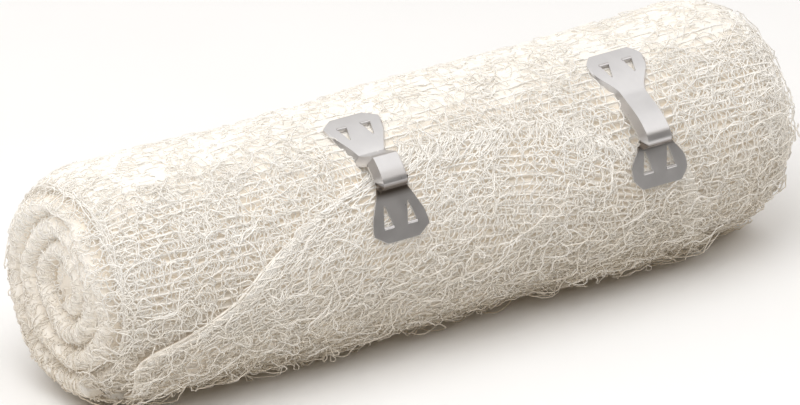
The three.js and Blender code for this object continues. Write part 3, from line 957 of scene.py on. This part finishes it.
def looseWefts():
    rng = np.random.default_rng(104)
    u = np.linspace(0, 1, looseYarns["weftPoints"])[None, :]
    v = (np.arange(looseEnd["ribs"] + 1) / looseEnd["ribs"])[:, None]
    v = np.clip(v + 0.006 * ripple(u * 60, v * 60, 0, 81, 22), 0, 1)
    phase = rng.uniform(0, 6.28, (len(v), 1))
    lift = looseYarns["weftHeight"] + 0.16 * np.sin(u * 220 + phase)
    points = loosePoint(u + 0 * v, v, lift)
    keep = np.ones(points.shape[:2], bool)
    tint = np.clip(0.5 + 0.4 * ripple(u * 120, v * 50, 0, 82, 10), 0, 1)
    return yarnsFrom("looseWefts", points, keep, looseYarns["weftWidth"], tint, 0.5)


def looseWarps():
    rng = np.random.default_rng(105)
    count = looseYarns["warps"]
    base = (np.linspace(0.028, 0.972, count) + rng.uniform(-0.002, 0.002, count))[:, None]
    v = np.linspace(0, 1, looseYarns["warpPoints"])[None, :]
    strand = np.arange(count)[:, None]
    rib = v * looseEnd["ribs"]
    sway = 0.5 * np.sin(2 * math.pi * rib + strand * 2.1) + 0.6 * ripple(v * 50, strand * 9.0, 0, 83, 5)
    u = base + looseYarns["warpKink"] * sway / 120
    height = looseYarns["warpWave"] * np.cos(math.pi * (rib + strand))
    height = height + 0.1 + 0.2 * ripple(v * 50, strand * 7.0, 0, 84, 4)
    points = loosePoint(u, v + 0 * u, height)
    width = looseSpot(u, v + 0 * u)[2]
    keep = edgeDistance(u, width) > looseEnd["bandWidth"]
    keep = keep & ((strand % 2 == 0) | (v < 0.72))
    tint = np.clip(0.5 + 0.4 * ripple(v * 50, strand * 5.0, 0, 85, 9), 0, 1)
    return yarnsFrom("looseWarps", points, keep, looseYarns["warpWidth"], tint, 0.5)


def looseBands():
    lines = []
    v = np.linspace(0, 1, 110)
    width = looseSpot(0.5 + 0 * v, v)[2]
    for side in (0, 1):
        for n in range(looseYarns["bandYarns"]):
            offset = (0.15 + n * looseYarns["bandPitch"]) / width
            u = offset if side == 0 else 1 - offset
            height = -0.1 + 0.08 * ripple(v * 80, n * 5.0, side, 86, 5) - (0.55 if n == 0 else 0)
            lines.append(loosePoint(u, v, height))
    points = np.stack(lines)
    keep = np.ones(points.shape[:2], bool)
    return yarnsFrom("looseBands", points, keep, looseYarns["bandWidth"], 0.65, 0.3)


def frayedEnds():
    rng = np.random.default_rng(106)
    lines = []
    for u in rng.uniform(0.01, 0.99, looseYarns["frayed"]):
        length = looseYarns["frayLength"] * rng.uniform(0.1, 1.0) ** 1.5 / looseYarns["frayRun"]
        v = np.linspace(rng.uniform(0.88, 0.96), 1 + length, looseYarns["frayPoints"])
        t = np.linspace(0, 1, looseYarns["frayPoints"])
        sway = rng.uniform(-1, 1) * 0.05 * t ** 2
        sway = sway + rng.uniform(0.003, 0.012) * np.sin(t * rng.uniform(4, 12))
        height = 0.2 + rng.uniform(-0.2, 0.7) * np.sin(math.pi * t) - 0.5 * smoothStep(v, 0.99, 1.03)
        lines.append(loosePoint(u + sway, v, height))
    points = np.stack(lines)
    keep = np.ones(points.shape[:2], bool)
    tint = rng.uniform(0.2, 1, (len(lines), 1))
    return yarnsFrom("frayedEnds", points, keep, looseYarns["frayWidth"], tint, 0.6)


sideParts = [sideWefts(), sideWarps(), sideBands(), endFaceLoops()]
looseParts = [looseWefts(), looseWarps(), looseBands(), frayedEnds()]

# Curls: snarls of over-twisted yarn that stand out of the cloth.

curls = {
    "kinds": 40, "points": 12, "turn": 1.1, "apart": 0.6,
    "reach": 73.8,              # how far from the roll's middle they grow
    "clear": 2.0,               # kept free round the clips' plates
    # from angle, to angle, curls a square metre, smallest, largest, height, yarn width
    "front": (-64, 92, 2200000.0, 0.75, 1.8, 1.0, 0.27),
    "top": (28, 205, 700000.0, 0.7, 1.3, 0.36, 0.24),
    "back": (180, 294, 400000.0, 0.8, 1.3, 0.8, 0.3),
    "loose": (2200000.0, 0.8, 1.8, 1.1, 0.28),
    "endNear": (1200000.0, 0.3, 0.62, 1.0, 0.27),
    "endFar": (300000.0, 0.4, 0.7, 1.0, 0.3),
}


# A length of over-twisted yarn: its heading wanders at random, and it arches off the cloth.
def curlLine(rng):
    count = curls["points"]
    t = np.linspace(0, 1, count)
    length = rng.uniform(4.0, 9.5)
    bend = rng.uniform(0.8, 5.2) * rng.choice([-1, 1])
    wander = rng.uniform(0.3, 1.5)
    waves, phase = rng.uniform(1.0, 2.2), rng.uniform(0, 6)
    heading = bend * (t - 0.5) + wander * np.sin(2 * math.pi * t * waves + phase)
    x = np.cumsum(np.cos(heading)) * length / count
    y = np.cumsum(np.sin(heading)) * length / count
    rise = rng.choice([0.4, 0.55, 0.75, 1.25]) * rng.uniform(0.7, 1.2)
    lean = rng.uniform(0, 1.2)
    arch = rise * np.sin(math.pi * t) ** 0.8
    line = np.stack([x - x.mean(), y - y.mean(), arch - 0.35], -1)  # both ends sink into the cloth
    line[:, 1] += lean * arch
    return line + rng.normal(0, 0.06, (count, 3))


def curlCollection():
    kinds = bpy.data.collections.new("curlKinds")
    bpy.context.scene.collection.children.link(kinds)
    rng = np.random.default_rng(107)
    for _ in range(curls["kinds"]):
        mesh = bpy.data.meshes.new("curlKind")
        line = curlLine(rng)
        pairs = [(k, k + 1) for k in range(len(line) - 1)]
        mesh.from_pydata((line * mm).tolist(), pairs, [])
        kinds.objects.link(bpy.data.objects.new("curlKind", mesh))
    return kinds


def skinOf(name, point, rows, across, shareOf):
    u, v = np.meshgrid(np.linspace(0, 1, across), np.linspace(0, 1, rows))
    points = point(u, v).reshape(-1, 3)
    index = np.arange(rows * across).reshape(rows, across)
    quads = np.stack([index[:-1, :-1], index[:-1, 1:], index[1:, 1:], index[1:, :-1]], -1)
    share = shareOf(u, v).ravel()
    return meshObject(name, points, quads.reshape(-1, 4), {"share": share})


def strewCurls(name, skin, kinds, amount, seed):
    perSquareMetre, smallest, largest, height, width = amount
    return grown(skin, name, strewTree, {
        "Curls Per Square Metre": perSquareMetre * 1.0,
        "Smallest": smallest, "Largest": largest, "Height": height, "Turn": curls["turn"],
        "Apart": curls["apart"] * mm, "Lowest": lowestYarn * mm, "Yarn Width": width * mm, "Sides": 3,
        "Seed": seed, "Curl Kinds": kinds, "Yarn Material": yarnLook})


# Share of the curls at a place; a band of them fades over 25 degrees where it meets the next.
def sideShare(x, angle, low, high):
    turned = inTurn(angle)
    share = 1.0 * ~underLoose(x, turned, -0.3) * (1 - pressed(x, turned, curls["clear"]))
    if low > -64:
        share = share * smoothStep(angle, low, low + 25)
    if high < 294:
        share = share * (1 - smoothStep(angle, high - 25, high))
    flat = smoothStep(np.abs(np.mod(angle + 270, 360) - 180), 10, 22)
    patches = 0.7 + 0.3 * rollRipple(x, angle, 91, 9)
    rows = 0.4 + 0.6 * np.cos(2 * math.pi * ribPhase(x, angle))  # most curls rise from the ribs
    return np.clip(share * flat * patches * rows, 0, 1)


def sideSkin(name, fromAngle, toAngle):
    def point(u, v):
        angle = fromAngle + (toAngle - fromAngle) * v
        return sidePoint((2 * u - 1) * curls["reach"], angle, 0.1)

    def share(u, v):
        angle = fromAngle + (toAngle - fromAngle) * v
        return sideShare((2 * u - 1) * curls["reach"], angle, fromAngle, toAngle)

    return skinOf(name, point, 160, 160, share)


def looseShare(u, v):
    x, angle = looseSpot(u, v)[:2]
    patches = 0.7 + 0.3 * rollRipple(x, angle, 92, 8)
    rows = 0.4 + 0.6 * np.cos(2 * math.pi * v * looseEnd["ribs"])
    return np.clip((1 - pressed(x, angle, curls["clear"])) * patches * rows, 0, 1)


# The skin of an end face: strips across each turn, from its inner groove to its outer one.
def endSkin(name, side):
    fraction = np.linspace(0, 0.998, 160)
    strips = [(n, across) for n in range(4) for across in (0.1, 0.3, 0.5, 0.7, 0.9)]
    spots = [ring[0] for ring in endRings(side, fraction)[:2]]
    spots += [endPoint(side, fraction, n, across + 0 * fraction) for n, across in strips]
    turned = np.stack(spots)[:, ::side]
    return skinOf(name, lambda u, v: turned, len(spots), len(fraction), lambda u, v: 1 + 0 * u)


strewTree = curlTree()
curlKinds = curlCollection()
for seed, part in enumerate(("front", "top", "back"), 1):
    fromAngle, toAngle, *amount = curls[part]
    skin = sideSkin("skin" + part.title(), fromAngle, toAngle)
    sideParts.append(strewCurls("curls" + part.title(), skin, curlKinds, amount, seed))
for side, part in ((-1, "Near"), (1, "Far")):
    skin = endSkin("skinEnd" + part, side)
    sideParts.append(strewCurls("curlsEnd" + part, skin, curlKinds, curls["end" + part], 7 + side))
looseSkin = skinOf("skinLoose", lambda u, v: loosePoint(u, v, 0.1), 163, 120, looseShare)
looseParts.append(strewCurls("curlsLoose", looseSkin, curlKinds, curls["loose"], 3))
for sample in list(curlKinds.objects):
    bpy.data.objects.remove(sample)
bpy.data.collections.remove(curlKinds)

# Bandage clips

clipSheet = {
    "thickness": 0.36, "gap": 0.42, "plate": 5.85, "outerEdge": 3.4, "waist": 3.45,
    "windowBase": 2.7, "windowTip": (5.7, 6.6), "windowOffset": 2.5, "windowHalf": 1.0,
    "cheek": 0.95, "cheekDrop": 1.4,   # the waist's slanted sides: how wide, and how far down
    "tooth": 3.0, "toothHalf": 0.17, "shoulder": 0.3, "bevel": 0.05, "crease": 28.0,
    "slit": 0.14,                      # half width of a window's narrow tip
    "topFrom": 45,                     # above this angle a row belongs to the top plate
    "topReach": 10.0, "cheekRun": (2.2, 9.8),
    # places of a plate's rows, from its outer edge
    "stops": [0, 0.3, 0.7, 1.2, 1.7, 2.2, 2.7, 3.4, 4.1, 4.9, 5.7, 6.6, 7.1, 7.7, 8.3, 9.0, 9.6],
}


# Half the width of an end plate at a distance from its outer edge.
def plateHalf(along, reach, roundness, neck):
    outer, full = clipSheet["outerEdge"], clipSheet["plate"]
    straight = np.interp(along, [0, 1.7, 2.4, 4.4, reach], [outer, full, full, full - 0.35, neck])
    corner = full - (full - outer) * (1 - smoothStep(along, -1.4, 2.4))
    taper = full + (neck - full) * smoothStep(along, 3.6, reach)
    return straight + roundness * (np.minimum(corner, taper) - straight)


# Rows from the top edge to the bottom edge: angle, height, half width, cheek share, place.
def clipRows(clip):
    form, reach = clipSheet, clip["reach"]
    x = clip["alongRoll"] - halfLength

    def base(angle):
        return woundRoll["innerRadius"] + endSwell(x) + woundRoll["layerStep"] * woundFraction(angle)

    def plate(s, edge, height, way, cheek, length, neck):
        angle = edge + way * math.degrees(s / (base(edge) + height))
        return angle, height, plateHalf(s, length, clip["roundness"], neck), cheek, s

    rows = []
    for s in form["stops"]:
        cheek, height = float(smoothStep(s, *form["cheekRun"])), form["gap"] + 0.1
        rows.append(plate(s, clip["topAngle"], height, -1, cheek, form["topReach"], form["waist"]))
    waist = np.array(clip["waist"], float)
    for n in np.linspace(0, len(waist) - 1, 3 * len(waist) - 2):
        angle = np.interp(n, np.arange(len(waist)), waist[:, 0])
        height = np.interp(n, np.arange(len(waist)), waist[:, 1])
        rows.append((angle, height, form["waist"], 1.0, None))
    for angle, height, half in clip["fold"]:
        rows.append((angle, height, half, max(height - 2.3, 0) / form["cheekDrop"], None))
    onLoose = looseEnd["lift"] + looseEnd["thickness"] + form["gap"] + 0.05
    for s in reversed([s for s in form["stops"] if s < reach - 0.3]):
        bulge = 1 - (2 * s / reach - 1) ** 2  # the plate runs straighter than the cloth under it
        height = onLoose + 0.2 - 0.34 * bulge + clip["lean"] * (0.6 - 1.2 * s / reach)
        rows.append(plate(s, clip["bottomAngle"], height, 1, 0.0, reach, clip["neck"]))
    line = [placed(0.0, row[0], base(row[0]) + row[1])[..., 1:] for row in rows]
    return rows, np.array(line), x


# Half the width of a window at place s of a plate, None beside it; the top plate's are shorter.
def windowAt(s, isTop):
    base, tip = clipSheet["windowBase"], clipSheet["windowTip"][0 if isTop else 1]
    if s is None or not base - 0.01 <= s <= tip + 0.01:
        return None
    wide, slit = clipSheet["windowHalf"], clipSheet["slit"]
    return wide + (slit - wide) * (s - base) / (tip - base)


def gridSheet(top, bottom, isOpen):
    rows, across = top.shape[:2]
    points = np.concatenate([top.reshape(-1, 3), bottom.reshape(-1, 3)])
    up = np.arange(rows * across).reshape(rows, across)
    down = up + rows * across
    solid = {(i, j) for i in range(rows - 1) for j in range(across - 1) if not isOpen(i, j)}
    quads = []
    for i, j in solid:
        quads.append((up[i, j], up[i, j + 1], up[i + 1, j + 1], up[i + 1, j]))
        quads.append((down[i, j], down[i + 1, j], down[i + 1, j + 1], down[i, j + 1]))
        if (i - 1, j) not in solid:
            quads.append((up[i, j], down[i, j], down[i, j + 1], up[i, j + 1]))
        if (i + 1, j) not in solid:
            quads.append((up[i + 1, j + 1], down[i + 1, j + 1], down[i + 1, j], up[i + 1, j]))
        if (i, j - 1) not in solid:
            quads.append((up[i + 1, j], down[i + 1, j], down[i, j], up[i, j]))
        if (i, j + 1) not in solid:
            quads.append((up[i, j + 1], down[i, j + 1], down[i + 1, j + 1], up[i + 1, j + 1]))
    return points, quads


# A tooth bent down at the wide side of its window, with the rounded shoulder of the bend.
def toothParts(spot, x, side):
    form = clipSheet
    inward = np.array([woundRoll["axisBack"], woundRoll["axisHeight"]]) - spot
    inward /= np.linalg.norm(inward)
    along = np.array([inward[1], -inward[0]])
    middle = x + side * form["windowOffset"]
    wide = form["windowHalf"] + 0.04
    blade = [(-wide, -0.2), (wide, -0.2), (0.12, form["tooth"]), (-0.12, form["tooth"])]
    ring = [(math.cos(k * math.pi / 4), math.sin(k * math.pi / 4)) for k in range(8)]
    parts = [[], []]
    for thick in (-form["toothHalf"], form["toothHalf"]):
        parts[0].append([[middle + w, *(spot + inward * depth + along * thick)] for w, depth in blade])
    for w in (-wide, wide):
        parts[1].append([[middle + w, *(spot + form["shoulder"] * (inward * (a - 0.9) + along * b))]
                         for a, b in ring])
    return parts


def prism(points, quads, first, second):
    start, count = len(points), len(first)
    points += first + second
    quads.append(tuple(start + k for k in range(count)))
    quads.append(tuple(start + count + k for k in reversed(range(count))))
    for k in range(count):
        after = (k + 1) % count
        quads.append((start + k, start + count + k, start + count + after, start + after))


# How much of the painted shade and dark reflection at the bend lies on each row: all of it on the fold,
# less beside it.
def foldShadeShare(rows, clip):
    first = next(n for n, row in enumerate(rows) if row[:2] == clip["fold"][0][:2])
    away = np.abs(np.arange(len(rows)) - first - 0.5)
    return np.clip(1.7 - 0.45 * away, 0, 1)


def buildClip(name, clip):
    form = clipSheet
    rows, line, x = clipRows(clip)
    run = np.gradient(line, axis=0)
    run /= np.linalg.norm(run, axis=1)[:, None]
    outward = np.stack([run[:, 1], -run[:, 0]], -1)
    away = outward * (line - [woundRoll["axisBack"], woundRoll["axisHeight"]])
    outward *= np.sign(away.sum())
    top, bottom = [], []
    for n, (angle, _, half, cheek, s) in enumerate(rows):
        window = windowAt(s, angle > form["topFrom"]) or form["slit"]
        narrow = smoothStep(s, 7.1, 9.6) if s is not None else 1.0
        offset = form["windowOffset"] - 1.1 * narrow
        flat = half - max(form["cheek"] * cheek, 0.3)
        right = [0, offset - window, offset + window, flat - 0.3, flat, half]
        drops = [0, 0, 0, 0, 0, form["cheekDrop"] * cheek]
        across = np.array([-w for w in reversed(right[1:])] + right)
        drop = np.array(list(reversed(drops[1:])) + drops)
        upper = line[n] + outward[n] * (form["thickness"] - drop)[:, None]
        lower = line[n] - outward[n] * drop[:, None]
        top.append(np.column_stack([x + across, upper]))
        bottom.append(np.column_stack([x + across, lower]))
    middle = len(top[0]) // 2
    holes = {middle + 1, middle - 2}

    def isOpen(i, j):
        both = [windowAt(row[4], row[0] > form["topFrom"]) for row in rows[i:i + 2]]
        return None not in both and j in holes

    points, quads = gridSheet(np.array(top), np.array(bottom), isOpen)
    points, quads = points.tolist(), list(quads)
    for n in [n for n, row in enumerate(rows) if row[4] == form["windowBase"]]:
        for side in (-1, 1):
            for first, second in toothParts(line[n], x, side):
                prism(points, quads, first, second)
    mesh = bpy.data.meshes.new(name)
    mesh.from_pydata((np.array(points) * mm).tolist(), [], quads)
    # painted shade at the bend, stored in the fold attribute
    inFoldShade = np.tile(np.repeat(foldShadeShare(rows, clip), len(top[0])), 2)
    values = np.concatenate([inFoldShade, np.zeros(len(points) - len(inFoldShade))]).astype(np.float32)
    mesh.attributes.new("fold", "FLOAT", "POINT").data.foreach_set("value", values)
    mesh.shade_smooth()
    mesh.set_sharp_from_angle(angle=math.radians(form["crease"]))
    piece = bpy.data.objects.new(name, mesh)
    bpy.context.collection.objects.link(piece)
    bevel = piece.modifiers.new("softEdges", "BEVEL")
    bevel.width, bevel.segments, bevel.limit_method = form["bevel"] * mm, 2, "ANGLE"
    bevel.angle_limit = math.radians(form["crease"])
    bevel.harden_normals = True
    piece.data.materials.append(clipLook)
    return piece


clipPieces = {name: buildClip("clipPlate_" + name, clip) for name, clip in clipForm.items()}
print("clips bent")

# Floor and light

studio = {
    "floor": 6.0,                           # half its width, metres
    "floorTints": ((0.95, 0.95, 0.95, 1), (0.98, 0.98, 0.98, 1)),
    "sky": 1.38, "skyFade": 0.36,           # overhead, and how much of it the back lacks
    "frontSky": 0.05, "backSky": 0.34,      # low down in front and at the back
    "skyEdge": (0.46, 0.7),                 # low light turns into sky between these heights
    "backEdge": (-0.5, 0.3),                # and the front into the back between these depths
    "lowTint": (1, 0.85, 0.69, 1), "highTint": (1, 0.993, 0.988, 1),
    "lampPlace": (-0.27, -0.13, 0.58), "lampSize": 0.55, "lampPower": 1.85,
    "lampTint": (1, 0.995, 0.985),
}


def layFloor():
    mesh = bpy.data.meshes.new("floor")
    r = studio["floor"]
    mesh.from_pydata([(-r, -r, 0), (r, -r, 0), (r, r, 0), (-r, r, 0)], [], [(0, 1, 2, 3)])
    floor = bpy.data.objects.new("floor", mesh)
    bpy.context.collection.objects.link(floor)
    material, shader, place = newMaterial("paleFloor", {"Roughness": 0.7})
    grain = place.node("ShaderNodeTexNoise", inputs={"Vector": place, "Scale": 30.0})
    feed(material, shader, {"Base Color": place.mix(*studio["floorTints"], grain)})
    floor.data.materials.append(material)


def addLamp(name, spot, size, power, colour):
    data = bpy.data.lights.new(name, "AREA")
    data.shape, data.size, data.size_y = "RECTANGLE", size, size
    data.energy, data.color = power, colour
    lamp = bpy.data.objects.new(name, data)
    lamp.location = spot
    lamp.rotation_euler = (-Vector(spot)).to_track_quat("-Z", "Y").to_euler()
    lamp.visible_glossy = False
    bpy.context.collection.objects.link(lamp)


# A tent of light: bright overhead, dim low in front, where a photographer stands.
def lightStage():
    world = bpy.data.worlds.new("studio")
    world.use_nodes = True
    tree = world.node_tree
    sky = Wire(tree, None)
    way = sky.node("ShaderNodeTexCoord", output=0)
    parts = way.node("ShaderNodeSeparateXYZ", inputs={0: way})
    high = Wire(tree, parts.socket.node.outputs[2])
    behind = Wire(tree, parts.socket.node.outputs[1])
    start, end = studio["backEdge"]
    back = behind.node("ShaderNodeMapRange", inputs={0: behind, 1: start, 2: end})
    start, end = studio["skyEdge"]
    above = high.node("ShaderNodeMapRange", {"interpolation_type": "SMOOTHSTEP"},
                      {0: high, 1: start, 2: end})
    front, rear = studio["frontSky"], studio["backSky"]
    low = back * (rear - front) + front
    high = (1 - back * studio["skyFade"]) * studio["sky"]
    glow = low + above * (high - low)
    tint = sky.mix(studio["lowTint"], studio["highTint"], above)
    tree.links.new(glow.socket, tree.nodes["Background"].inputs["Strength"])
    tree.links.new(tint.socket, tree.nodes["Background"].inputs["Color"])
    bpy.context.scene.world = world
    addLamp("window", studio["lampPlace"], studio["lampSize"], studio["lampPower"], studio["lampTint"])


layFloor()
lightStage()
bpy.context.scene.view_settings.view_transform = "Standard"
print("stage lit")

# Hand over

for piece in [woundCloth, *sideParts, looseCloth, *looseParts]:
    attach(piece, "root")
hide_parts("roll")
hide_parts("loose_end")
for name, piece in clipPieces.items():
    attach(piece, "root")
    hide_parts("clip_" + name)
